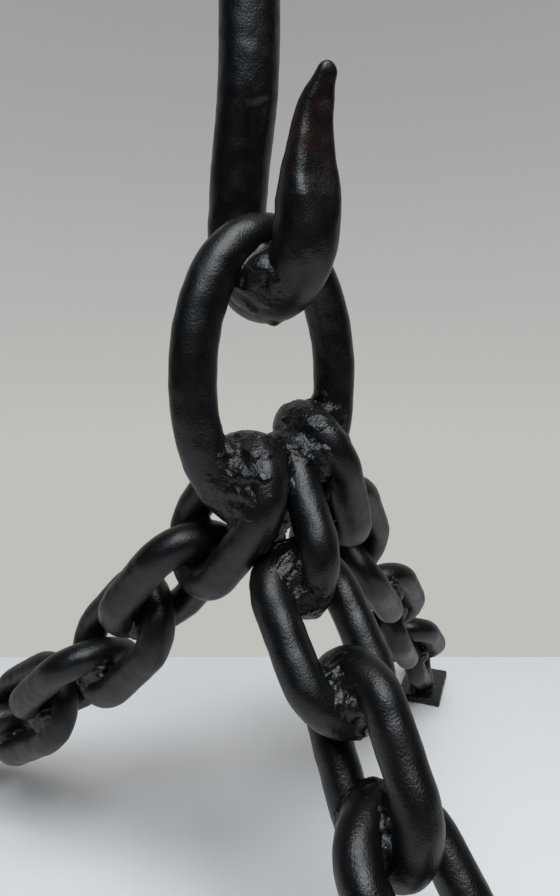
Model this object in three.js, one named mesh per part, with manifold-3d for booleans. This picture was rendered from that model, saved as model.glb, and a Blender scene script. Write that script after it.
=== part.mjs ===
// A rigid stand made from lifting gear. A long-shank hook is welded into the top of an oval ring,
// and three chain legs are welded to the bottom of the ring. Each leg runs out and down to a flat
// foot plate, with a weld bead at every joint.
//
// Frame: +Z up, with the foot plates on z = 0. The ring lies in the XZ plane and the hook in the
// YZ plane, with its tip towards -Y. The origin is under the centre of the whole stand.

import * as THREE from "three";
import { mergeVertices } from "three/addons/utils/BufferGeometryUtils.js";
import Module from "manifold-3d";

const wasm = await Module();
wasm.setup();

// ---- Driving dimensions, in millimetres and degrees ----

const GAP = 0.3; // clearance between pieces that touch

const CHAIN_BAR = 16; // diameter of the round bar of a link
const LINK_LENGTH = 79; // outside
const LINK_WIDTH = 53; // outside

const RING_BAR = 18.2;
const RING_HEIGHT = 129; // outside
const RING_WIDTH = 89.5; // outside, at mid-height
const RING_SQUARENESS = 2.1; // 2 is an ellipse, more is squarer
const RING_PEAR = 0.03; // how much narrower the top is than the middle, and wider the bottom
const RING_RISE = 262; // centre of the ring above the floor

const HOOK_BAR = 24.5; // diameter of shank and bowl
const HOOK_TIP = 8; // diameter just below the rounded tip
const HOOK_TAPER = 46; // length of the tapering end
const HOOK_BOWL = 23.5; // radius of the bowl's centreline
const HOOK_TIP_RISE = 50; // tip above the centre of the bowl
const HOOK_TIP_LEAN = 12; // tip further out than the bowl
const HOOK_SHANK_RISE = 112; // top of the shank above the centre of the bowl
const HOOK_SHANK_SET = 10.5; // straight shank in from the back of the bowl
const EYE_RADIUS = 24; // centreline of the eye at the top of the shank
const EYE_BAR = 19;

const PLATE_LENGTH = 54;
const PLATE_WIDTH = 34;
const PLATE_THICKNESS = 6;
const PLATE_AHEAD = 9; // middle of the plate beyond the foot of the last link

const LINK_BEAD = 13; // radius of a weld bead between two links
const RING_BEAD = 14; // radius of a weld bead on the ring
const FOOT_BEAD = 13; // radius of the weld bead on a foot plate

// Each leg starts at the middle of its first bend, measured from the centre of the ring. Each link
// then has a heading (anticlockwise from +X, seen from above), a slope below the horizontal and a
// roll about its own length. The last link stands on the foot plate.
const LEGS = [
  {
    name: "left",
    start: [-13.6, -13.3, -33.7],
    headings: [103, 111, 112, 111, 112, 113, 113],
    slopes: [48, 47, 45, 41, 32, 27, 25],
    rolls: [-19, 72, -21, 72, -20, 70, -20],
  },
  {
    name: "front",
    start: [8, 12.5, -35],
    headings: [-102, -94, -102, -92, -87, -92, -92],
    slopes: [54, 50, 54, 44, 32, 21, 13],
    rolls: [6, -81, 8, -85, 0, -90, -2],
  },
  {
    name: "rear",
    start: [16.2, -5.5, -19.2],
    headings: [29, 28, 25, 26, 29, 26, 31],
    slopes: [55, 44, 39, 39, 39, 36, 34],
    rolls: [56, 144, 50, 127, 26, 110, 13],
  },
];

const BLACK = { color: 0x151617, roughness: 0.38, metalness: 0 };
const WELD = { color: 0x1b1c1e, roughness: 0.28, metalness: 0 };

// ---- Derived sizes ----

const deg = Math.PI / 180;
const UP = new THREE.Vector3(0, 0, 1);
const linkSpan = LINK_LENGTH - CHAIN_BAR; // centreline length of a link
const bendRadius = (LINK_WIDTH - CHAIN_BAR) / 2;
const ringHalfHeight = (RING_HEIGHT - RING_BAR) / 2;
const ringHalfWidth = (RING_WIDTH - RING_BAR) / 2;

// ---- Solids ----

// A geometry with only merged positions, as one closed body.
function body(geometry) {
  geometry.deleteAttribute("normal");
  geometry.deleteAttribute("uv");
  return mergeVertices(geometry, 1e-4);
}

function toManifold(geometry) {
  return new wasm.Manifold(
    new wasm.Mesh({
      numProp: 3,
      vertProperties: new Float32Array(geometry.attributes.position.array),
      triVerts: new Uint32Array(geometry.index.array),
    }),
  );
}

function fromManifold(solid) {
  const mesh = solid.getMesh();
  const geometry = new THREE.BufferGeometry();
  geometry.setAttribute("position", new THREE.BufferAttribute(mesh.vertProperties, 3));
  geometry.setIndex(new THREE.BufferAttribute(mesh.triVerts, 1));
  return geometry;
}

// The centreline of a link: two half-circles and two straight sides, with its length along X.
function linkCentre(u) {
  const side = Math.sign(Math.cos(u)) * (linkSpan / 2 - bendRadius);
  return new THREE.Vector2(side + bendRadius * Math.cos(u), bendRadius * Math.sin(u));
}

// The centreline of the ring, a squared ellipse with its height along Y, a little pear-shaped.
function ringCentre(u) {
  const power = 2 / RING_SQUARENESS;
  const squared = (v) => Math.sign(v) * Math.abs(v) ** power;
  const rise = squared(Math.sin(u));
  const width = ringHalfWidth * (1 - RING_PEAR * rise);
  return new THREE.Vector2(width * squared(Math.cos(u)), ringHalfHeight * rise);
}

// A round bar bent into a closed loop in the XY plane, along centre(u) for u from 0 to 2 pi.
function loopBar(centre, diameter, segments, sides) {
  const tube = 0.5;
  const torus = new THREE.TorusGeometry(1, tube, sides, segments);
  const scale = diameter / 2 / tube;
  const position = torus.attributes.position;
  for (let i = 0; i < position.count; i += 1) {
    const [x, y, z] = [position.getX(i), position.getY(i), position.getZ(i)];
    const u = Math.atan2(y, x);
    const out = (Math.hypot(x, y) - 1) * scale;
    const here = centre(u);
    const along = centre(u + 0.01).sub(centre(u - 0.01)).normalize();
    position.setXYZ(i, here.x + along.y * out, here.y - along.x * out, z * scale);
  }
  return body(torus);
}

// 18 segments leave a straight side between the two bends of a link.
function linkGeometry(extra) {
  return loopBar(linkCentre, CHAIN_BAR + 2 * extra, 18, 7);
}

function ringGeometry(extra) {
  return loopBar(ringCentre, RING_BAR + 2 * extra, 36, 9);
}

// A straight turned bar, given by its profile along Y, bent along a path in the YZ plane.
function bentBar(profile, path, sides) {
  const bar = new THREE.LatheGeometry(profile, sides);
  const length = profile[profile.length - 1].y;
  const across = new THREE.Vector3(1, 0, 0);
  const position = bar.attributes.position;
  for (let i = 0; i < position.count; i += 1) {
    const u = THREE.MathUtils.clamp(position.getY(i) / length, 0, 1);
    const out = path.getTangentAt(u).cross(across).normalize();
    const here = path.getPointAt(u);
    here.addScaledVector(across, position.getX(i)).addScaledVector(out, -position.getZ(i));
    position.setXYZ(i, here.x, here.y, here.z);
  }
  return body(bar);
}

// A lump of weld metal: a rough ball, with the space of each piece that it touches cut out of it.
function beadGeometry(centre, radius, phase, spaces) {
  const ball = new THREE.IcosahedronGeometry(radius, 1);
  const position = ball.attributes.position;
  const point = new THREE.Vector3();
  for (let i = 0; i < position.count; i += 1) {
    point.fromBufferAttribute(position, i);
    const wave = Math.sin(point.x * 0.4 + phase) + Math.sin((point.y + point.z) * 0.3 - phase);
    point.multiplyScalar(1 + 0.03 * wave).add(centre);
    position.setXYZ(i, point.x, point.y, point.z);
  }
  let solid = toManifold(body(ball));
  for (const space of spaces) {
    solid = solid.subtract(space);
  }
  return fromManifold(solid);
}

// ---- Placement ----

// The turn of a link: its local X runs from its first bend to its last, and Z is its flat side.
function linkTurn(heading, slope, roll) {
  const level = new THREE.Vector3(Math.cos(heading * deg), Math.sin(heading * deg), 0);
  const along = level.clone().multiplyScalar(Math.cos(slope * deg));
  along.addScaledVector(UP, -Math.sin(slope * deg));
  const right = new THREE.Vector3().crossVectors(level, UP);
  const above = new THREE.Vector3().crossVectors(right, along);
  const face = right.multiplyScalar(Math.cos(roll * deg));
  face.addScaledVector(above, Math.sin(roll * deg));
  const across = new THREE.Vector3().crossVectors(face, along);
  return new THREE.Matrix4().makeBasis(along, across, face);
}

// Points along a placed loop's centreline.
function tracePoints(centre, matrix) {
  const points = [];
  for (let i = 0; i < 72; i += 1) {
    const p = centre(i * 5 * deg);
    points.push(new THREE.Vector3(p.x, p.y, 0).applyMatrix4(matrix));
  }
  return points;
}

// Where two traces come closest: the distance, and the point midway between them.
function closestApproach(traceA, traceB) {
  let distance = Infinity;
  const middle = new THREE.Vector3();
  for (const a of traceA) {
    for (const b of traceB) {
      const d = a.distanceTo(b);
      if (d < distance) {
        distance = d;
        middle.lerpVectors(a, b, 0.5);
      }
    }
  }
  return { distance, middle };
}

// Hangs each link in the one before it, pushed on until the two bars just clear each other.
function placeLinks(leg, slopes) {
  let before = null;
  return leg.headings.map((heading, i) => {
    const matrix = linkTurn(heading, slopes[i], leg.rolls[i]);
    const along = new THREE.Vector3().setFromMatrixColumn(matrix, 0);
    const start = new THREE.Vector3(...leg.start);
    if (before) {
      const pull = before.along.clone().add(along).normalize();
      start.copy(before.end).addScaledVector(pull, -CHAIN_BAR - GAP);
      for (let pass = 0; pass < 2; pass += 1) {
        matrix.setPosition(start.clone().addScaledVector(along, linkSpan / 2));
        const trace = tracePoints(linkCentre, matrix);
        const overlap = CHAIN_BAR + GAP - closestApproach(before.trace, trace).distance;
        start.addScaledVector(pull, -overlap);
      }
    }
    matrix.setPosition(start.clone().addScaledVector(along, linkSpan / 2));
    const end = start.clone().addScaledVector(along, linkSpan);
    before = { along, end, trace: tracePoints(linkCentre, matrix) };
    return matrix;
  });
}

// The lowest point of a placed link.
function lowestPoint(matrix) {
  const low = tracePoints(linkCentre, matrix).reduce((a, b) => (b.z < a.z ? b : a));
  return low.clone().addScaledVector(UP, -CHAIN_BAR / 2);
}

// Trims the slopes, more towards the foot, until the last link stands on its plate.
function settleLeg(leg) {
  const plateTop = PLATE_THICKNESS + GAP - RING_RISE;
  const trimmed = (trim) => {
    const last = leg.slopes.length - 1;
    return placeLinks(leg, leg.slopes.map((slope, i) => slope + (trim * i) / last));
  };
  let least = -15;
  let most = 15;
  for (let step = 0; step < 14; step += 1) {
    const trim = (least + most) / 2;
    if (lowestPoint(trimmed(trim).at(-1)).z > plateTop) {
      least = trim;
    } else {
      most = trim;
    }
  }
  return trimmed(least);
}

// ---- Assembly ----

const group = new THREE.Group();
const stand = new THREE.Group();
group.add(stand);

function addPiece(name, geometry, look, matrix = new THREE.Matrix4()) {
  const mesh = new THREE.Mesh(geometry, new THREE.MeshStandardMaterial(look));
  mesh.name = name;
  mesh.applyMatrix4(matrix);
  stand.add(mesh);
}

// The space that weld metal stays out of: a piece that is thicker by the gap.
function spaceOf(geometry, matrix = new THREE.Matrix4()) {
  return toManifold(geometry.clone().applyMatrix4(matrix));
}

// Ring: drawn in XY with its height along Y, then stood up in XZ.
const standUp = new THREE.Matrix4().makeRotationX(Math.PI / 2);
addPiece("ring", ringGeometry(0), BLACK, standUp);
const ringSpace = spaceOf(ringGeometry(GAP), standUp);
const ringTrace = tracePoints(ringCentre, standUp);

// Hook: the bowl passes under the top of the ring, with the tip at -Y and the shank at +Y.
const bowlRise = ringHalfHeight - (RING_BAR + HOOK_BAR) / 2 - GAP + HOOK_BOWL;
const hookPoint = (out, up) => new THREE.Vector3(0, -out, bowlRise + up);
const bowlPoint = (turn) => {
  return hookPoint(HOOK_BOWL * Math.cos(turn * deg), HOOK_BOWL * Math.sin(turn * deg));
};
const shankOut = HOOK_SHANK_SET - HOOK_BOWL;
const hookPath = new THREE.CatmullRomCurve3([
  hookPoint(shankOut, HOOK_SHANK_RISE),
  hookPoint(shankOut, HOOK_SHANK_RISE * 0.7),
  hookPoint(shankOut - HOOK_SHANK_SET * 0.15, HOOK_SHANK_RISE * 0.5),
  hookPoint(shankOut - HOOK_SHANK_SET * 0.6, HOOK_SHANK_RISE * 0.3),
  ...[180, 210, 240, 270, 300, 330, 360].map(bowlPoint),
  hookPoint(HOOK_BOWL + HOOK_TIP_LEAN * 0.12, HOOK_TIP_RISE * 0.5),
  hookPoint(HOOK_BOWL + HOOK_TIP_LEAN * 0.32, HOOK_TIP_RISE * 0.74),
  hookPoint(HOOK_BOWL + HOOK_TIP_LEAN, HOOK_TIP_RISE),
]);

// Shank, bowl and tip as one bar that tapers to a rounded tip, thicker all round by extra.
function hookBar(extra) {
  const length = hookPath.getLength();
  const stations = 28;
  const profile = [new THREE.Vector2(0, 0)];
  for (let i = 0; i <= stations; i += 1) {
    const s = (length - HOOK_TIP / 3) * (i / stations);
    const taper = THREE.MathUtils.clamp((s - length + HOOK_TAPER) / HOOK_TAPER, 0, 1);
    profile.push(new THREE.Vector2(THREE.MathUtils.lerp(HOOK_BAR, HOOK_TIP, taper) / 2 + extra, s));
  }
  profile.push(new THREE.Vector2(HOOK_TIP / 4, length - HOOK_TIP / 12));
  profile.push(new THREE.Vector2(0, length));
  return bentBar(profile, hookPath, 10);
}

const eye = body(new THREE.TorusGeometry(EYE_RADIUS, EYE_BAR / 2, 8, 20));
const eyePlace = new THREE.Matrix4().makeRotationY(Math.PI / 2);
eyePlace.setPosition(hookPoint(shankOut, HOOK_SHANK_RISE + EYE_RADIUS));
const hook = toManifold(hookBar(0)).add(spaceOf(eye, eyePlace));
addPiece("hook", fromManifold(hook), BLACK);

const saddle = new THREE.Vector3(0, 0, ringHalfHeight - RING_BAR / 2);
const hookSpaces = [ringSpace, spaceOf(hookBar(GAP))];
addPiece("hook_bead", beadGeometry(saddle, RING_BEAD, 0.4, hookSpaces), WELD);

// Legs: links, the beads between them, and a foot plate with its own bead.
const legs = LEGS.map((leg) => {
  const links = settleLeg(leg);
  return {
    ...leg,
    links,
    spaces: links.map((matrix) => spaceOf(linkGeometry(GAP), matrix)),
    traces: links.map((matrix) => tracePoints(linkCentre, matrix)),
  };
});

const nearRing = legs.flatMap((leg) => leg.spaces.slice(0, 2));
const plateSize = [PLATE_LENGTH, PLATE_WIDTH, PLATE_THICKNESS];
for (const { name, links, spaces, traces, headings } of legs) {
  links.forEach((matrix, i) => {
    addPiece(`${name}_link_${i + 1}`, linkGeometry(0), BLACK, matrix);
  });

  const grip = closestApproach(ringTrace, traces[0]).middle;
  const gripBead = beadGeometry(grip, RING_BEAD, grip.x, [ringSpace, ...nearRing]);
  addPiece(`${name}_bead_1`, gripBead, WELD);

  for (let i = 1; i < links.length; i += 1) {
    const joint = closestApproach(traces[i - 1], traces[i]).middle;
    const bead = beadGeometry(joint, LINK_BEAD, i, [spaces[i - 1], spaces[i]]);
    addPiece(`${name}_bead_${i + 1}`, bead, WELD);
  }

  const foot = lowestPoint(links.at(-1));
  const platePlace = new THREE.Matrix4().makeTranslation(PLATE_AHEAD, 0, 0);
  platePlace.premultiply(new THREE.Matrix4().makeRotationZ(headings.at(-1) * deg));
  const plateRise = PLATE_THICKNESS / 2 - RING_RISE;
  platePlace.premultiply(new THREE.Matrix4().makeTranslation(foot.x, foot.y, plateRise));
  addPiece(`${name}_foot_plate`, body(new THREE.BoxGeometry(...plateSize)), BLACK, platePlace);
  const below = new THREE.BoxGeometry(PLATE_LENGTH, PLATE_WIDTH, 2 * FOOT_BEAD);
  below.translate(0, 0, PLATE_THICKNESS / 2 + GAP - FOOT_BEAD);
  const footSpaces = [spaces.at(-1), spaceOf(body(below), platePlace)];
  addPiece(`${name}_foot_bead`, beadGeometry(foot, FOOT_BEAD, 2, footSpaces), WELD);
}

// The origin is on the floor, under the centre of the stand.
const middle = new THREE.Box3().setFromObject(stand, true).getCenter(new THREE.Vector3());
stand.position.set(-middle.x, -middle.y, RING_RISE);

export default group;
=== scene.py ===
# The looks of the chain stand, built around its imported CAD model: a forged hook welded into an
# oval ring, on three welded chain legs, all under semi-gloss black paint.
# Lengths are in metres unless a name says millimetres, and +Z is up.

import math

import bpy
import numpy as np
import openvdb
from mathutils import Euler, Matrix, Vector


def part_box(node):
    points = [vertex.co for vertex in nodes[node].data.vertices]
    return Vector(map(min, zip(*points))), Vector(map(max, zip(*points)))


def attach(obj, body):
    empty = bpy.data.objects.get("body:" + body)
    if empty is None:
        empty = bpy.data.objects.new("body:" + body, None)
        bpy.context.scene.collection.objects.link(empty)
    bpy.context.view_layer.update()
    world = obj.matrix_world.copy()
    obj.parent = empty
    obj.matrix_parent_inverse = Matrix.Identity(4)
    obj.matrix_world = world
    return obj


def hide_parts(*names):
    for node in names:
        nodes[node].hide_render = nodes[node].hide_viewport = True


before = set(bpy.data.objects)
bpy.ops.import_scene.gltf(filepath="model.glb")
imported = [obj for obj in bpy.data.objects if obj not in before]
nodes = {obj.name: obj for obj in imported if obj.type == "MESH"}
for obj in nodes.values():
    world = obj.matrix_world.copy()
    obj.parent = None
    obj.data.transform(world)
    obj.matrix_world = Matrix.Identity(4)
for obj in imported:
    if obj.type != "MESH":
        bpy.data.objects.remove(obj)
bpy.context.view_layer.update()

MM = 0.001

# ---- Sizes that the CAD model shares ----

CHAIN_BAR = 16 * MM
LINK_LENGTH = 79 * MM
LINK_WIDTH = 53 * MM
RING_BAR = 18.2 * MM
RING_SQUARENESS = 2.1
RING_PEAR = 0.03
HOOK_BAR = 24.5 * MM
HOOK_TIP = 8 * MM
HOOK_TAPER = 46 * MM
HOOK_BOWL = 23.5 * MM
HOOK_TIP_RISE = 50 * MM
HOOK_TIP_LEAN = 12 * MM
HOOK_SHANK_RISE = 112 * MM
HOOK_SHANK_SET = 10.5 * MM
EYE_RADIUS = 24 * MM
EYE_BAR = 19 * MM
LEGS = ("left", "front", "rear")
LINKS_PER_LEG = 7

# ---- Surface ----

DENT_WAVES = ((14 * MM, 0.14 * MM), (5 * MM, 0.06 * MM))  # wavelength and depth
WAVE_COUNT = 14
WAVE_SPREAD = (0.75, 1.4)  # the shortest and longest wave, as shares of the wavelength
WAVE_HEIGHT = 0.6
TINY = 1e-9
COARSER = 1
BAR_STEP = 1.1 * MM * COARSER  # mesh spacing along a bar
BAR_SIDES = 48 // COARSER
RING_LINE_STEP = 0.5 * MM
HOOK_VOXEL = 0.8 * MM * COARSER
WELD_VOXEL = 0.62 * MM * COARSER
PLATE_VOXEL = 0.7 * MM
MARGIN = 3  # voxels left free round a surface

# ---- Camera and set ----

CAMERA_HEADING = math.radians(-37.5)
CAMERA_PITCH = math.radians(7)
CAMERA_FROM_RING = Vector((-0.1482, -0.2002, 0.0014))
CAMERA_LENS = 24.27  # millimetres, as is the sensor's long side
CAMERA_SENSOR = 36
CAMERA_NEAR = 0.01
FLOOR_AHEAD = 0.538  # from the camera to the far edge of the floor
FLOOR_BEHIND = 0.3
FLOOR_SIDE = 1.3
FLOOR_COLOUR = (0.93, 0.915, 0.905, 1)
FLOOR_ROUGHNESS = 0.45
KEY_LIGHT = {"size": (0.5, 0.4), "power": 3.3, "colour": (0.62, 0.82, 1.0)}
KEY_AHEAD, KEY_RIGHT, KEY_UP = -0.85, -0.35, 0.95  # from the ring's centre, as the camera looks
TOP_LIGHT = {"size": (1.1, 1.1), "power": 30, "colour": (0.92, 0.97, 1.0)}
TOP_AHEAD, TOP_RIGHT, TOP_UP = -0.8, 0.15, 1.72  # from the frame's origin
# The wall's colour low down, and a darker colour higher up: painted shade that darkens the wall
# towards the top.
WALL_LOW = (0.53, 0.52, 0.5, 1)
WALL_HIGH_PAINTED_SHADE = (0.32, 0.315, 0.32, 1)
WALL_PAINTED_SHADE_RANGE = (-0.1, 0.55)  # slopes of the line of sight between which the wall darkens
ROOM_DARK = (0.008, 0.008, 0.01, 1)
ROOM_LIGHT = (0.42, 0.42, 0.41, 1)
ROOM_RANGE = (0.1, 0.75)  # cosines from straight ahead between which the room brightens


# ---- Numbers ----

def unit(vector):
    return vector / np.linalg.norm(vector)


def smoothstep(low, high, value):
    t = np.clip((value - low) / (high - low), 0, 1)
    return t * t * (3 - 2 * t)


def waves(points, wavelength, seed):
    """A smooth random field of about that wavelength, mostly between -1 and 1."""
    rng = np.random.default_rng(seed)
    total = np.zeros(points.shape[:-1])
    for _ in range(WAVE_COUNT):
        heading = unit(rng.normal(size=3))
        direction = heading * 2 * math.pi / (wavelength * rng.uniform(*WAVE_SPREAD))
        total += np.sin(points @ direction + rng.uniform(0, 2 * math.pi))
    return total * math.sqrt(2 / WAVE_COUNT) * WAVE_HEIGHT


def dents(points):
    """How far the forged and painted surface stands out at each point."""
    return sum(depth * waves(points, length, i) for i, (length, depth) in enumerate(DENT_WAVES))


def smooth_min(a, b, blend):
    """The smaller of two distances, rounded where they are closer together than blend."""
    near = np.maximum(blend - np.abs(a - b), 0)
    return np.minimum(a, b) - near * near / (4 * np.maximum(blend, TINY))


# ---- Centrelines and distances ----

def node_corners(node):
    """The distinct corners of a CAD node."""
    corners = np.array([v.co for v in nodes[node].data.vertices], float)
    return np.unique(np.round(corners, 6), axis=0)


class Loop:
    """A round bar bent into a closed loop, where a CAD node has one."""

    def __init__(self, node, bar):
        self.bar = bar
        corners = node_corners(node)
        centre = corners.mean(axis=0)
        _, turn = np.linalg.eigh(np.cov((corners - centre).T))
        along, across = turn[:, 2] * math.copysign(1, turn[2, 2]), turn[:, 1]
        self.face = np.cross(along, across)
        self.turn = np.stack([along, across, self.face], axis=1)
        local = (corners - centre) @ self.turn
        middle = (local.min(axis=0) + local.max(axis=0)) / 2
        self.centre = centre + self.turn @ middle

    def world(self, flat):
        return self.centre + flat @ self.turn[:, :2].T

    def local(self, points):
        return (points - self.centre) @ self.turn


class Link(Loop):
    bend = (LINK_WIDTH - CHAIN_BAR) / 2
    straight = (LINK_LENGTH - LINK_WIDTH) / 2

    def __init__(self, node):
        super().__init__(node, CHAIN_BAR)

    def centreline(self, step):
        """Points and outward directions along the loop, in its own plane."""
        turns = round(math.pi * self.bend / step)
        steps = round(2 * self.straight / step)
        points, outs = [], []
        for end in (1, -1):
            for i in range(turns):
                angle = -math.pi / 2 + math.pi * i / turns
                out = end * np.array([math.cos(angle), math.sin(angle)])
                points.append(np.array([end * self.straight, 0]) + out * self.bend)
                outs.append(out)
            for i in range(steps):
                x = end * self.straight * (1 - 2 * i / steps)
                points.append(np.array([x, end * self.bend]))
                outs.append(np.array([0, end]))
        return np.array(points), np.array(outs)

    def distance(self, points):
        local = self.local(points)
        beyond = np.maximum(np.abs(local[..., 0]) - self.straight, 0)
        out = np.hypot(beyond, local[..., 1]) - self.bend
        return np.hypot(out, local[..., 2]) - self.bar / 2


class Ring(Loop):
    def __init__(self, node):
        super().__init__(node, RING_BAR)
        low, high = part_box(node)
        self.half = np.array([high.z - low.z - RING_BAR, high.x - low.x - RING_BAR]) / 2
        self.fine, _ = self.centreline(RING_LINE_STEP)

    def centreline(self, step):
        count = round(2 * math.pi * self.half.mean() / step)
        angles = np.linspace(0, 2 * math.pi, count, endpoint=False)
        flat = np.stack([np.cos(angles), np.sin(angles)], axis=1)
        squared = np.sign(flat) * np.abs(flat) ** (2 / RING_SQUARENESS)
        squared[:, 1] *= 1 - RING_PEAR * squared[:, 0]
        points = squared * self.half
        steps = np.roll(points, -1, axis=0) - np.roll(points, 1, axis=0)
        outs = np.stack([steps[:, 1], -steps[:, 0]], axis=1)
        return points, outs / np.linalg.norm(outs, axis=1)[:, None]

    def distance(self, points):
        """points is a grid whose second axis is Y, so that the nearest place is found once."""
        out = nearest(self.local(points[:, 0])[..., :2], self.fine)[0]
        return np.hypot(out[:, None], points[..., 1] - self.centre[1]) - self.bar / 2


class Plate:
    """The box of a foot plate, turned as its CAD node is."""

    def __init__(self, node):
        corners = node_corners(node)
        top = corners[:, 2].max()
        foot = corners[corners[:, 2] < top / 2]
        self.centre = np.append(foot[:, :2].mean(axis=0), top / 2)
        across, along = sorted((b - foot[0] for b in foot[1:]), key=np.linalg.norm)[:2]
        self.half = np.array([np.linalg.norm(along), np.linalg.norm(across), top]) / 2
        up = np.array([0, 0, 1.0])
        self.turn = np.stack([unit(along), unit(across), up], axis=1)

    def distance(self, points):
        local = np.abs((points - self.centre) @ self.turn) - self.half
        outside = np.linalg.norm(np.maximum(local, 0), axis=-1)
        return outside + np.minimum(local.max(axis=-1), 0)


def nearest(flat, line):
    """Distance from each point of a plane to the nearest point of a line, and which one it is."""
    shape = flat.shape[:-1]
    flat = flat.reshape(-1, 2)
    best = np.full(len(flat), np.inf)
    which = np.zeros(len(flat), int)
    for i, point in enumerate(line):
        away = (flat[:, 0] - point[0]) ** 2 + (flat[:, 1] - point[1]) ** 2
        closer = away < best
        best[closer] = away[closer]
        which[closer] = i
    return np.sqrt(best).reshape(shape), which.reshape(shape)


# ---- Meshes ----

def new_piece(name, points, faces, material, slot, *replaced):
    mesh = bpy.data.meshes.new(name)
    mesh.from_pydata(points.tolist(), [], faces.tolist())
    mesh.validate()
    mesh.shade_smooth()
    mesh.materials.append(material)
    piece = bpy.data.objects.new(name, mesh)
    bpy.context.scene.collection.objects.link(piece)
    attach(piece, "root")
    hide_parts(*replaced)
    return piece


def tube_faces(rows, sides):
    """Quads of a closed tube, with its points in rows round the bar."""
    i, j = np.meshgrid(np.arange(rows), np.arange(sides), indexing="ij")
    i, j = i.ravel(), j.ravel()
    below, beside = (i + 1) % rows, (j + 1) % sides
    corners = ((i, j), (below, j), (below, beside), (i, beside))
    return np.stack([row * sides + side for row, side in corners], axis=1)


def loop_piece(name, node, loop, material):
    """A tube along the loop, with the dents of its surface."""
    flat, outs = loop.centreline(BAR_STEP)
    centres = loop.world(flat)
    outs = outs @ loop.turn[:, :2].T
    angles = np.linspace(0, 2 * math.pi, BAR_SIDES, endpoint=False)
    normals = outs[:, None] * np.cos(angles)[:, None] + loop.face * np.sin(angles)[:, None]
    points = centres[:, None] + normals * loop.bar / 2
    points = (points + normals * dents(points)[..., None]).reshape(-1, 3)
    faces = tube_faces(len(centres), BAR_SIDES)
    new_piece(name, points, faces, material, "black_paint", node)


def implicit_faces(field, low, voxel):
    """The surface where a field of distances is zero, as points and quads that face outwards."""
    grid = openvdb.FloatGrid()
    grid.background = 1.0
    grid.copyFromArray((field / voxel).astype(np.float32))
    points, quads = grid.convertToQuads(isovalue=0.0)
    return low + points * voxel, quads


def grid_points(low, high, voxel):
    axes = [np.arange(a, b, voxel) for a, b in zip(low, high)]
    return np.stack(np.meshgrid(*axes, indexing="ij"), axis=-1)


def box_points(node, voxel):
    """The low corner and the points of a grid over a CAD node's box, with a margin."""
    low, high = (np.array(corner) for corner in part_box(node))
    low = low - MARGIN * voxel
    return low, grid_points(low, high + MARGIN * voxel, voxel)


def implicit_piece(name, field, low, voxel, material, slot, *replaced):
    points, faces = implicit_faces(field, low, voxel)
    return new_piece(name, points, faces, material, slot, *replaced)


def piece_corners(piece):
    return np.array([v.co for v in piece.data.vertices])


def put_values(piece, name, values):
    """A number at each point of a piece, for its material to read."""
    attribute = piece.data.attributes.new(name, "FLOAT", "POINT")
    attribute.data.foreach_set("value", values.astype(np.float32))


# ---- Hook ----

GAP = 0.3 * MM  # between the ring and the bowl, as in the CAD model
HOOK_LINE_STEP = 0.4 * MM
BOWL_TURN = 30  # degrees between the points of the bowl's outline
SHANK_BENDS = ((0, 1), (0, 0.7), (0.15, 0.5), (0.6, 0.3))  # shares of the shank's set and rise
ARM_BENDS = ((0.12, 0.5), (0.32, 0.74), (1, 1))  # shares of the tip's lean and rise
TIP_TRIM = 3 * MM
TIP_WEAR = 0.9 * MM  # what the worn tip's end has lost from its radius
TIP_WEAR_LENGTH = 9 * MM
ARM_FACE = unit(np.array([-0.18, -1.0, 0.05]))  # the way that the arm's flattened face looks
ARM_FLAT = 0.28  # how much of the arm's radius the flattening takes
ARM_FLAT_FROM = -8 * MM  # heights from the bowl's centre between which the flattening sets in
ARM_FLAT_FULL = 14 * MM
ARM_FACE_EDGE = 1.5 * MM
EYE_BLEND = 8 * MM
DRIP_RADIUS = 2.4 * MM
DRIP_BLEND = 2 * MM
DRIP_SET = -3 * MM  # along Y from the bowl's centre
DRIP_DEPTH = 1.2 * MM  # from the bowl's underside up to the drip's centre
THIN_AHEAD = (10 * MM, 20 * MM)  # where the arm's paint wears thin, from the bowl's centre
THIN_RISE = 25 * MM
NICK_TOP = 0.369  # above the floor
NICK_FOOT = 0.348
NICK_DEPTH = 1.6 * MM
NICK_LIP = 2.5 * MM
NICK_FACE = unit(np.array([-0.3, -1.0, 0.0]))
NICK_SIDE = (0.8, 0.97)  # cosines from NICK_FACE between which the nick sets in
NICK_WAVE = (4 * MM, 2 * MM)  # length and height of the wave in its edges


def smooth_line(points, step):
    """A centripetal Catmull-Rom curve through points, as points about a step apart."""
    points = np.array(points)
    ends = [2 * points[0] - points[1], *points, 2 * points[-1] - points[-2]]
    line = []
    for p0, p1, p2, p3 in zip(ends, ends[1:], ends[2:], ends[3:]):
        t0 = 0
        t1 = t0 + np.linalg.norm(p1 - p0) ** 0.5
        t2 = t1 + np.linalg.norm(p2 - p1) ** 0.5
        t3 = t2 + np.linalg.norm(p3 - p2) ** 0.5
        count = max(2, round(np.linalg.norm(p2 - p1) / step))
        t = np.linspace(t1, t2, count, endpoint=False)[:, None]
        a1 = (t1 - t) / (t1 - t0) * p0 + (t - t0) / (t1 - t0) * p1
        a2 = (t2 - t) / (t2 - t1) * p1 + (t - t1) / (t2 - t1) * p2
        a3 = (t3 - t) / (t3 - t2) * p2 + (t - t2) / (t3 - t2) * p3
        b1 = (t2 - t) / (t2 - t0) * a1 + (t - t0) / (t2 - t0) * a2
        b2 = (t3 - t) / (t3 - t1) * a2 + (t - t1) / (t3 - t1) * a3
        line.append((t2 - t) / (t2 - t1) * b1 + (t - t1) / (t2 - t1) * b2)
    line.append(points[-1:])
    return np.concatenate(line)


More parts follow.
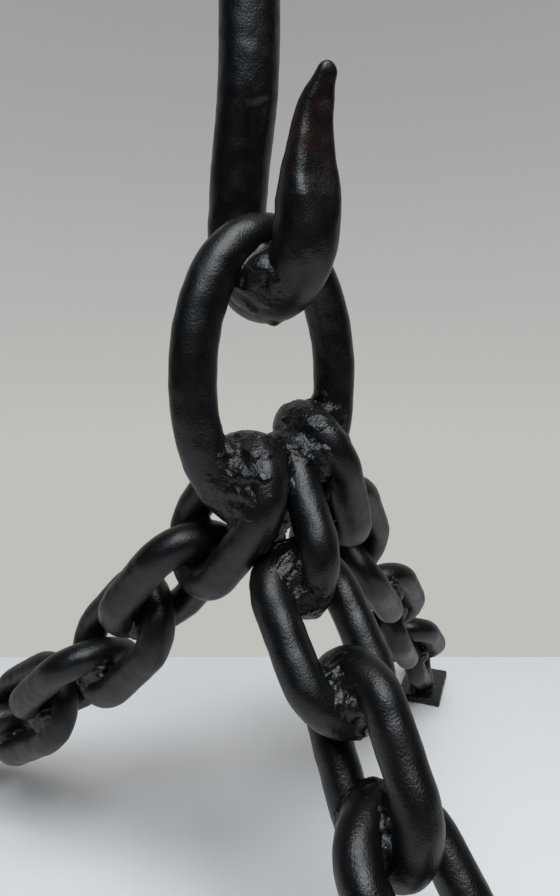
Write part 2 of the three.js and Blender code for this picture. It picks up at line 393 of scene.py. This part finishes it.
class Hook:
    """The hook's bar and eye, in the plane across the ring. Flat points are (Y, Z)."""

    def __init__(self, node, ring):
        low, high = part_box(node)
        self.middle = (low.x + high.x) / 2
        saddle = ring.half[0] - (RING_BAR + HOOK_BAR) / 2 - GAP
        self.bowl = ring.centre[1:] + np.array([0, saddle + HOOK_BOWL])
        shank_out = HOOK_SHANK_SET - HOOK_BOWL
        turns = np.radians(np.arange(180, 361, BOWL_TURN))
        outline = [
            *[(shank_out - HOOK_SHANK_SET * x, HOOK_SHANK_RISE * z) for x, z in SHANK_BENDS],
            *[(HOOK_BOWL * math.cos(a), HOOK_BOWL * math.sin(a)) for a in turns],
            *[(HOOK_BOWL + HOOK_TIP_LEAN * x, HOOK_TIP_RISE * z) for x, z in ARM_BENDS],
        ]
        line = smooth_line(outline, HOOK_LINE_STEP) * [-1, 1] + self.bowl
        steps = np.linalg.norm(np.diff(line, axis=0), axis=1)
        to_tip = steps.sum() - np.concatenate([[0], np.cumsum(steps)])
        self.line = line[to_tip > TIP_TRIM]
        to_tip = to_tip[to_tip > TIP_TRIM]
        taper = np.clip(1 - to_tip / HOOK_TAPER, 0, 1)
        self.radius = (HOOK_BAR + (HOOK_TIP - HOOK_BAR) * taper) / 2
        self.radius -= TIP_WEAR * (1 - smoothstep(TIP_TRIM, TIP_TRIM + TIP_WEAR_LENGTH, to_tip))
        on_arm = self.line[:, 0] < self.bowl[0]
        arm_rise = self.line[:, 1] - self.bowl[1]
        self.flat = ARM_FLAT * smoothstep(ARM_FLAT_FROM, ARM_FLAT_FULL, arm_rise) * on_arm
        self.eye = self.bowl + np.array([-shank_out, HOOK_SHANK_RISE + EYE_RADIUS])

    def distance(self, points):
        """points is a grid whose first axis is X, so that the nearest place is found once."""
        away, which = nearest(points[0, ..., 1:], self.line)
        radius = self.radius[which]
        beside = points[..., 0] - self.middle
        bar = np.hypot(away, beside) - radius
        across = points[0, ..., 1:] - self.line[which]
        face = beside * ARM_FACE[0] + across @ ARM_FACE[1:] - radius * (1 - self.flat[which])
        bar = -smooth_min(-bar, -face, ARM_FACE_EDGE)
        from_eye = points[0, ..., 1:] - self.eye
        eye_ring = np.hypot(from_eye[..., 0], from_eye[..., 1]) - EYE_RADIUS
        eye = np.hypot(eye_ring, beside) - EYE_BAR / 2
        return smooth_min(bar, eye, EYE_BLEND)


def hook_piece(hook, material):
    """The forged hook, with a nick, a drip of paint under its bowl, and thin paint on its arm."""
    low, points = box_points("hook", HOOK_VOXEL)
    field = hook.distance(points) - dents(points) + nick(points, hook)
    bottom = -HOOK_BOWL - HOOK_BAR / 2
    drip = np.array([hook.middle, *(hook.bowl + [DRIP_SET, bottom + DRIP_DEPTH])])
    field = smooth_min(field, np.linalg.norm(points - drip, axis=-1) - DRIP_RADIUS, DRIP_BLEND)
    piece = implicit_piece("hook_forging", field, low, HOOK_VOXEL, material, "black_paint", "hook")
    corners = piece_corners(piece)
    out = smoothstep(*THIN_AHEAD, hook.bowl[0] - corners[:, 1])
    rise = smoothstep(0, THIN_RISE, corners[:, 2] - hook.bowl[1])
    put_values(piece, "thin", out * rise)


def nick(points, hook):
    """The depth of an old tool cut on the front of the shank: sharp at its top, fading below."""
    shank = np.array([hook.middle, hook.eye[0], 0])
    off = points - shank
    off[..., 2] = 0
    away = np.linalg.norm(off, axis=-1)
    side = off @ NICK_FACE / np.maximum(away, TINY)
    length, swing = NICK_WAVE
    height = points[..., 2] - swing * np.sin(off[..., 0] / length)
    fade = smoothstep(NICK_FOOT, NICK_TOP, height)
    fade *= 1 - smoothstep(NICK_TOP, NICK_TOP + NICK_LIP, height)
    return NICK_DEPTH * fade * smoothstep(*NICK_SIDE, side) * (away < HOOK_BAR)


# ---- Welds ----

# Wavelengths and depths of the random shapes of weld metal.
LUMPS = (6.5 * MM, 0.36 * MM)
CREASES = (9 * MM, 0.22 * MM)
WRINKLES = (2.2 * MM, 0.13 * MM)
SWELLING = (10 * MM, 0.8 * MM)
RAGGED_EDGE = (11 * MM, 2.2 * MM)
CREASE_WIDTH = 0.18  # as a share of the field's height
SKIN = 0.25 * MM  # how far a weld stands out of what it joins
SINK = 1.3 * MM  # how far its edge lies below that
SOLID_BLEND = 9 * MM  # the rounding between what it joins
LUMP_BLEND = 7 * MM  # the rounding round its lumps
# Shares of a weld's reach: where its edge begins, and where its gloss begins and ends to fade.
EDGE_FROM = 0.55
GLOSS_FROM = 0.5
GLOSS_GONE = 0.95
SPREAD = 3 * MM  # room for the ragged edge beyond the reach
FLOOR_CLEARANCE = 0.4 * MM
SWIRL_STEP = 3.1 * MM
SWIRL_DEPTH = 0.4 * MM
SWIRL_FROM_BEAD = np.array([8.3, 1.1, 9.0]) * MM  # its centre, from the low corner of the bead's box


def weld_relief(points, seed):
    """How far weld metal stands out: soft lumps, creases between them, and fine wrinkles."""
    lumps = LUMPS[1] * waves(points, LUMPS[0], seed)
    crease = CREASES[1] * np.exp(-(waves(points, CREASES[0], seed + 1) / CREASE_WIDTH) ** 2)
    return lumps - crease + WRINKLES[1] * waves(points, WRINKLES[0], seed + 2)


def weld_piece(name, beads, solids, material, seed, size, fill=(), swirl=None):
    """Weld metal as a skin over the solids that it joins, with a lump at each bead, and in each
    hollow that it fills. It is proud of them near its lumps, and sinks below them at its edge.
    Its size is the radius of the lump at a bead, and how far it reaches."""
    ball, reach = size
    boxes = [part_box(bead) for bead in beads]
    lumps = [(np.array((low + high) / 2), ball) for low, high in boxes] + list(fill)
    centres = np.array([centre for centre, _ in lumps])
    limit = reach + SPREAD
    low = centres.min(axis=0) - limit
    points = grid_points(low, centres.max(axis=0) + limit, WELD_VOXEL)
    aways = [np.linalg.norm(points - centre, axis=-1) for centre in centres]
    away = np.min(aways, axis=0)
    ragged = RAGGED_EDGE[1] * waves(points, RAGGED_EDGE[0], seed)
    edge = smoothstep(EDGE_FROM * reach, reach, away + ragged)
    inner = 1 - edge
    field = np.full(away.shape, 1.0)
    for solid in solids:
        field = smooth_min(field, solid.distance(points), SOLID_BLEND * inner)
    swelling = SWELLING[1] * waves(points, SWELLING[0], seed + 4)
    for (_, radius), near in zip(lumps, aways):
        field = smooth_min(field, near - radius - swelling, LUMP_BLEND * inner)
    skin = (SKIN + weld_relief(points, seed)) * inner - SINK * edge
    if swirl is not None:
        rings = np.sin(np.linalg.norm(points - swirl, axis=-1) * 2 * math.pi / SWIRL_STEP)
        skin += SWIRL_DEPTH * rings * inner
    field = field - dents(points) - skin
    field = np.maximum(field, away - limit + 2 * WELD_VOXEL)
    field = np.maximum(field, FLOOR_CLEARANCE - points[..., 2])
    piece = implicit_piece(name, field, low, WELD_VOXEL, material, "painted_weld", *beads)
    corners = piece_corners(piece)
    from_lumps = np.min([np.linalg.norm(corners - centre, axis=-1) for centre in centres], axis=0)
    put_values(piece, "gloss", 1 - smoothstep(GLOSS_FROM * reach, GLOSS_GONE * reach, from_lumps))


# ---- Foot plates ----

PLATE_BEVEL = 1.6 * MM
PLATE_WEAR = 0.12 * MM
PLATE_WEAR_MEAN = 1.7
PLATE_WEAR_LENGTH = 7 * MM
PLATE_SEED = 5
CUT_EDGE = 1.5 * MM  # how far the marks of the flame reach in from a side
DRAG_STEP = 2.2 * MM
PLATE_CLEARANCE = 0.05 * MM


def plate_piece(name, node, material):
    """A flame-cut plate with worn edges, kept inside its CAD box."""
    plate = Plate(node)
    low, points = box_points(node, PLATE_VOXEL)
    place = (points - plate.centre) @ plate.turn
    local = np.abs(place) - plate.half + PLATE_BEVEL
    outside = np.linalg.norm(np.maximum(local, 0), axis=-1)
    field = outside + np.minimum(local.max(axis=-1), 0) - PLATE_BEVEL
    field += PLATE_WEAR * (PLATE_WEAR_MEAN + waves(points, PLATE_WEAR_LENGTH, PLATE_SEED))
    cut = smoothstep(-CUT_EDGE, 0, local[..., :2].max(axis=-1) - PLATE_BEVEL)
    drag = np.sin((place[..., 0] + place[..., 1]) * 2 * math.pi / DRAG_STEP)
    field += cut * PLATE_WEAR * (1 + drag)
    field = np.maximum(field, PLATE_CLEARANCE - points[..., 2])
    implicit_piece(name, field, low, PLATE_VOXEL, material, "black_paint", node)


# ---- Materials ----

def shader(name):
    material = bpy.data.materials.new(name)
    material.use_nodes = True
    tree = material.node_tree
    return material, tree, tree.nodes["Principled BSDF"]


def add(tree, kind, inputs=None, **values):
    node = tree.nodes.new(kind)
    for key, value in values.items():
        setattr(node, key, value)
    for key, value in (inputs or {}).items():
        if isinstance(value, bpy.types.NodeSocket):
            tree.links.new(value, node.inputs[key])
        else:
            node.inputs[key].default_value = value
    return node


def noise(tree, place, size, detail=2):
    """A noise texture whose features are about that size."""
    inputs = {"Vector": place, "Scale": 1 / size, "Detail": detail}
    return add(tree, "ShaderNodeTexNoise", inputs).outputs["Fac"]


def ramp(tree, value, low, high, bottom, top):
    inputs = {"Value": value, "From Min": low, "From Max": high, "To Min": bottom, "To Max": top}
    return add(tree, "ShaderNodeMapRange", inputs).outputs["Result"]


def mix(tree, factor, a, b):
    """A mix of two colours, whose sockets Blender numbers 6 and 7, with the result at 2."""
    node = add(tree, "ShaderNodeMix", data_type="RGBA")
    for index, value in ((0, factor), (6, a), (7, b)):
        if isinstance(value, bpy.types.NodeSocket):
            tree.links.new(value, node.inputs[index])
        else:
            node.inputs[index].default_value = value
    return node.outputs[2]


BLACK = (0.0028, 0.0028, 0.0031, 1)
BROWN = (0.0062, 0.004, 0.0033, 1)
RUST = (0.016, 0.0065, 0.005, 1)
DUST = (0.11, 0.105, 0.1, 1)
BROWN_PATCH = 30 * MM
WORN_PATCH = 7 * MM
WORN_DETAIL = 4
DUST_PATCH = 9 * MM
SPECK_STEP = 2.6 * MM
NOISE_RANGE = (0.3, 0.7)  # most of a noise texture lies between these
# Each of these gives the value at which something sets in, and the one at which it is full.
BROWN_RANGE = (0.5, 0.72)
WORN_RANGE = (0.42, 0.62)
SPECK_RANGE = (0.1, 0.06)
DUST_RANGE = (0.72, 0.8)  # less a material's own dust
WORN_LEAST = 0.15  # how much brown shows through thin paint where it is worn least
PAINT_IOR = 1.45
DULL = (11 * MM, 4, 0.29, 0.42)  # size and detail of the noise, and the roughness it ranges over
WET = (5 * MM, 3, 0.22, 0.35)
# Layers for bumps.
PEEL = ((4.5 * MM, 0.08 * MM, 2, 1.0), (0.85 * MM, 0.17 * MM, 3, 1.0))
WRINKLE_SIZE, WRINKLE_DEPTH, WRINKLE_DETAIL = 1.2 * MM, 0.46 * MM, 3


def product(tree, a, b):
    return add(tree, "ShaderNodeMath", {0: a, 1: b}, operation="MULTIPLY").outputs[0]


def point_value(tree, name):
    """What put_values wrote at the points, or 0 on a piece that has no such values."""
    return add(tree, "ShaderNodeAttribute", attribute_name=name).outputs["Fac"]


def paint_colour(tree, place, dust):
    """Black paint with faint brown patches, brown metal showing through where the points' thin
    attribute is 1, and specks of dust."""
    brown = ramp(tree, noise(tree, place, BROWN_PATCH), *BROWN_RANGE, 0, 1)
    colour = mix(tree, brown, BLACK, BROWN)
    worn = ramp(tree, noise(tree, place, WORN_PATCH, WORN_DETAIL), *WORN_RANGE, WORN_LEAST, 1)
    colour = mix(tree, product(tree, point_value(tree, "thin"), worn), colour, RUST)
    cells = {"Vector": place, "Scale": 1 / SPECK_STEP, "Randomness": 1.0}
    near = add(tree, "ShaderNodeTexVoronoi", cells).outputs["Distance"]
    speck = ramp(tree, near, *SPECK_RANGE, 0, 1)
    start, full = DUST_RANGE
    patch = ramp(tree, noise(tree, place, DUST_PATCH), start - dust, full - dust, 0, 1)
    return mix(tree, product(tree, speck, patch), colour, DUST)


def bumps(tree, place, layers):
    """Bump nodes one on another; each layer is a feature size, a depth, a detail and a strength."""
    normal = None
    for size, depth, detail, strength in layers:
        height = noise(tree, place, size, detail)
        inputs = {"Height": height, "Distance": depth, "Strength": strength}
        if normal is not None:
            inputs["Normal"] = normal
        normal = add(tree, "ShaderNodeBump", inputs).outputs["Normal"]
    return normal


def roughness_noise(tree, place, size, detail, least, most):
    return ramp(tree, noise(tree, place, size, detail), *NOISE_RANGE, least, most)


def paint(name, dust):
    """Semi-gloss brushed paint with a fine orange peel. It is thicker, glossier and full of small
    wrinkles where the points' gloss attribute is 1, as it is on weld metal."""
    material, tree, surface = shader(name)
    place = add(tree, "ShaderNodeTexCoord").outputs["Object"]
    gloss = point_value(tree, "gloss")
    link = tree.links.new
    link(paint_colour(tree, place, dust), surface.inputs["Base Color"])
    dull, wet = (roughness_noise(tree, place, *kind) for kind in (DULL, WET))
    roughness = add(tree, "ShaderNodeMix", {0: gloss, 2: dull, 3: wet}, data_type="FLOAT")
    link(roughness.outputs[0], surface.inputs["Roughness"])
    wrinkles = ((WRINKLE_SIZE, WRINKLE_DEPTH, WRINKLE_DETAIL, gloss),)
    link(bumps(tree, place, PEEL + wrinkles), surface.inputs["Normal"])
    surface.inputs["IOR"].default_value = PAINT_IOR
    return material


# ---- The stand ----

BAR_DUST = 0.06
WELD_DUST = 0.14

bar_material = paint("black_paint_on_bar", BAR_DUST)
weld_material = paint("black_paint_on_weld", WELD_DUST)
ring = Ring("ring")
hook = Hook("hook", ring)
links = {leg: [Link(f"{leg}_link_{i + 1}") for i in range(LINKS_PER_LEG)] for leg in LEGS}


def from_ring(x, y, z, radius):
    """A lump of weld metal at a place measured from the ring's centre, all in millimetres."""
    return ring.centre + np.array([x, y, z]) * MM, radius * MM


CROWN_FILL = (
    from_ring(-17, -5, -38, 10),
    from_ring(-12, -8, -32, 8),
    from_ring(-19, -9, -43, 8),
    from_ring(-1, -4, -34, 6),
    from_ring(10, -6, -32, 6),
    from_ring(19, -6, -24, 6),
)
EXTRA_FILL = {
    "front_bead_2": (from_ring(-1, -23, -83, 9), from_ring(-6, -18, -78, 9)),
    "front_bead_4": (from_ring(-5, -73, -152, 8),),
}
SADDLE_FILL = (
    from_ring(-9, -1, 43, 8),
    from_ring(-9, 0, 36, 7),
    from_ring(-8, -9, 37, 8),
)
# Sizes of the welds.
HOOK_WELD = (9 * MM, 15 * MM)
CROWN_WELD = (7 * MM, 24 * MM)
FRONT_WELD = (11 * MM, 21 * MM)
OTHER_WELD = (9 * MM, 17 * MM)
FOOT_WELD = (7 * MM, 16 * MM)
# Seeds of the welds' random shapes.
HOOK_SEED = 3
LEG_SEED = 40
FOOT_SEED = 49
SEEDS_PER_LEG = 10

loop_piece("ring_bar", "ring", ring, bar_material)
hook_piece(hook, bar_material)
saddle = [hook, ring]
weld_piece("hook_weld", ["hook_bead"], saddle, weld_material, HOOK_SEED, HOOK_WELD, SADDLE_FILL)
grip = [ring, *(links[leg][0] for leg in LEGS)]
crown = [f"{leg}_bead_1" for leg in LEGS]
weld_piece("crown_weld", crown, grip, weld_material, LEG_SEED, CROWN_WELD, CROWN_FILL)

for number, leg in enumerate(LEGS):
    for i, link in enumerate(links[leg], 1):
        loop_piece(f"{leg}_link_{i}_bar", f"{leg}_link_{i}", link, bar_material)
    for i in range(1, LINKS_PER_LEG):
        pair = links[leg][i - 1:i + 1]
        seed = LEG_SEED + SEEDS_PER_LEG * number + i
        bead = f"{leg}_bead_{i + 1}"
        name = f"{leg}_weld_{i + 1}"
        size = FRONT_WELD if leg == "front" else OTHER_WELD
        fill = EXTRA_FILL.get(bead, ())
        swirl = np.array(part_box(bead)[0]) + SWIRL_FROM_BEAD
        weld_piece(name, [bead], pair, weld_material, seed, size, fill, swirl)
    plate_piece(f"{leg}_foot", f"{leg}_foot_plate", bar_material)
    foot = [links[leg][-1], Plate(f"{leg}_foot_plate")]
    seed = FOOT_SEED + SEEDS_PER_LEG * number
    weld_piece(f"{leg}_foot_weld", [f"{leg}_foot_bead"], foot, weld_material, seed, FOOT_WELD)


# ---- Set ----

ahead = Vector((-math.sin(CAMERA_HEADING), math.cos(CAMERA_HEADING), 0))
right = Vector((ahead.y, -ahead.x, 0))
camera_place = Vector(ring.centre) + CAMERA_FROM_RING


def add_camera():
    data = bpy.data.cameras.new("camera")
    data.lens = CAMERA_LENS
    data.sensor_width = CAMERA_SENSOR
    data.clip_start = CAMERA_NEAR
    camera = bpy.data.objects.new("camera", data)
    camera.location = camera_place
    camera.rotation_euler = Euler((math.radians(90) - CAMERA_PITCH, 0, CAMERA_HEADING))
    bpy.context.scene.collection.objects.link(camera)
    bpy.context.scene.camera = camera


def add_floor():
    """A white table top with straight edges behind and in front of the stand."""
    foot = Vector((camera_place.x, camera_place.y, 0))
    far = foot + ahead * FLOOR_AHEAD
    near = foot - ahead * FLOOR_BEHIND
    corners = [near - right * FLOOR_SIDE, near + right * FLOOR_SIDE]
    corners += [far + right * FLOOR_SIDE, far - right * FLOOR_SIDE]
    mesh = bpy.data.meshes.new("floor")
    mesh.from_pydata(corners, [], [(0, 1, 2, 3)])
    material, _, surface = shader("floor")
    surface.inputs["Base Color"].default_value = FLOOR_COLOUR
    surface.inputs["Roughness"].default_value = FLOOR_ROUGHNESS
    mesh.materials.append(material)
    floor = bpy.data.objects.new("floor", mesh)
    bpy.context.scene.collection.objects.link(floor)


def add_softbox(name, place, target, size, power, colour):
    data = bpy.data.lights.new(name, "AREA")
    data.shape = "RECTANGLE"
    data.size, data.size_y = size
    data.energy = power
    data.color = colour
    light = bpy.data.objects.new(name, data)
    light.location = place
    light.rotation_euler = (target - place).to_track_quat("-Z", "Y").to_euler()
    bpy.context.scene.collection.objects.link(light)


def add_world():
    """A pale grey wall behind everything that is seen, with painted shade that darkens it towards
    the top, and a room for the light and reflections that is bright on that side and dark on the
    camera's."""
    world = bpy.data.worlds.new("studio")
    world.use_nodes = True
    tree = world.node_tree
    tree.nodes.clear()
    way = add(tree, "ShaderNodeTexCoord").outputs["Generated"]
    split = add(tree, "ShaderNodeSeparateXYZ", {0: way})
    # The wall seen straight on, darkened towards the top by painted shade.
    seen = mix(tree, ramp(tree, split.outputs["Z"], *WALL_PAINTED_SHADE_RANGE, 0, 1), WALL_LOW, WALL_HIGH_PAINTED_SHADE)
    dot = add(tree, "ShaderNodeVectorMath", {0: way, 1: ahead}, operation="DOT_PRODUCT")
    lit = mix(tree, ramp(tree, dot.outputs["Value"], *ROOM_RANGE, 0, 1), ROOM_DARK, ROOM_LIGHT)
    straight = add(tree, "ShaderNodeLightPath").outputs["Is Camera Ray"]
    colour = mix(tree, straight, lit, seen)
    sky = add(tree, "ShaderNodeBackground", {"Color": colour, "Strength": 1.0})
    out = add(tree, "ShaderNodeOutputWorld")
    tree.links.new(sky.outputs[0], out.inputs["Surface"])
    bpy.context.scene.world = world


add_camera()
add_floor()
add_world()
up = Vector((0, 0, 1))
ring_centre = Vector(ring.centre)
key_place = ring_centre + ahead * KEY_AHEAD + right * KEY_RIGHT + up * KEY_UP
add_softbox("key", key_place, ring_centre, **KEY_LIGHT)
top_place = ahead * TOP_AHEAD + right * TOP_RIGHT + up * TOP_UP
add_softbox("top", top_place, Vector((0, 0, 0)), **TOP_LIGHT)
bpy.context.scene.view_settings.view_transform = "Standard"
